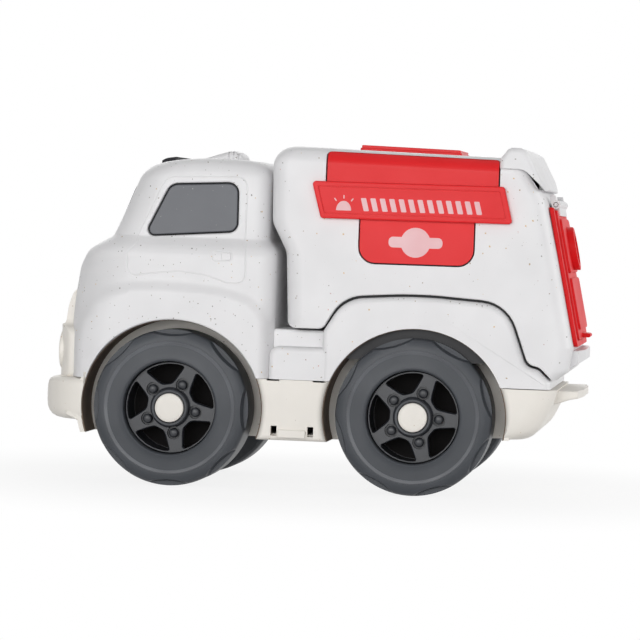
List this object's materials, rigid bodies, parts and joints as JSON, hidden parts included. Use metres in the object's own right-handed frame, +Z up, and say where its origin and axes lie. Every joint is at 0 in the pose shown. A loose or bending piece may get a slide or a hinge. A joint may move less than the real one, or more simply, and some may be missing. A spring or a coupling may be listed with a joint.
{
  "type": "toy box truck",
  "caption": "Toy box truck: hollow moulded cab and deck, tray chassis, box body with a top-hinged tailgate and chunky spoked wheels on two turning axles.",
  "frame": {"origin": "on the ground, under the middle of the truck's length and width", "axes": "+X forward to the bumper, +Y to the truck's left side, +Z up"},
  "size_m": [0.1964, 0.096, 0.1246],
  "materials": {
    "white_body": "satin, finely speckled",
    "cream_moulding": "satin",
    "dark_glazing": "satin",
    "red_panels": "semi-gloss",
    "tyre_grey": "matte, moulded",
    "rim_grey": "satin",
    "bright_steel": "bright"
  },
  "bodies": {
    "truck": {"cab_body": "white_body", "roof_fairing": "white_body", "cargo_box": "white_body", "rear_visor": "white_body", "front_axle_clamp": "white_body", "rear_axle_clamp": "white_body", "front_grille": "cream_moulding", "front_bumper": "cream_moulding", "chassis": "cream_moulding", "cab_glazing": "dark_glazing", "roof_strip": "dark_glazing", "side_panel_left": "red_panels", "side_panel_right": "red_panels", "sign_board_left": "red_panels", "sign_board_right": "red_panels", "roof_pad": "red_panels", "door_frame": "red_panels", "door_hinge_pin": "bright_steel", "base_screw_1": "bright_steel", "base_screw_2": "bright_steel", "base_screw_3": "bright_steel", "base_screw_4": "bright_steel"},
    "front_axle_set": {"front_axle": "bright_steel", "tyre_front_left": "tyre_grey", "rim_front_left": "rim_grey", "hub_cap_front_left": "cream_moulding", "tyre_front_right": "tyre_grey", "rim_front_right": "rim_grey", "hub_cap_front_right": "cream_moulding"},
    "rear_axle_set": {"rear_axle": "bright_steel", "tyre_rear_left": "tyre_grey", "rim_rear_left": "rim_grey", "hub_cap_rear_left": "cream_moulding", "tyre_rear_right": "tyre_grey", "rim_rear_right": "rim_grey", "hub_cap_rear_right": "cream_moulding"},
    "door": {"rear_door": "red_panels", "door_badge": "red_panels"}
  },
  "joints": [
    {"name": "front_wheels_spin", "type": "hinge", "parent": "truck", "child": "front_axle_set", "pos_m": [0.049, 0, 0.028], "axis": [0, 1, 0], "continuous": true},
    {"name": "rear_wheels_spin", "type": "hinge", "parent": "truck", "child": "rear_axle_set", "pos_m": [-0.0384, 0, 0.028], "axis": [0, 1, 0], "continuous": true},
    {"name": "rear_door_swing", "type": "hinge", "parent": "truck", "child": "door", "pos_m": [-0.08504, 0, 0.1052], "axis": [0, 1, 0], "range_deg": [0, 85]}
  ]
}
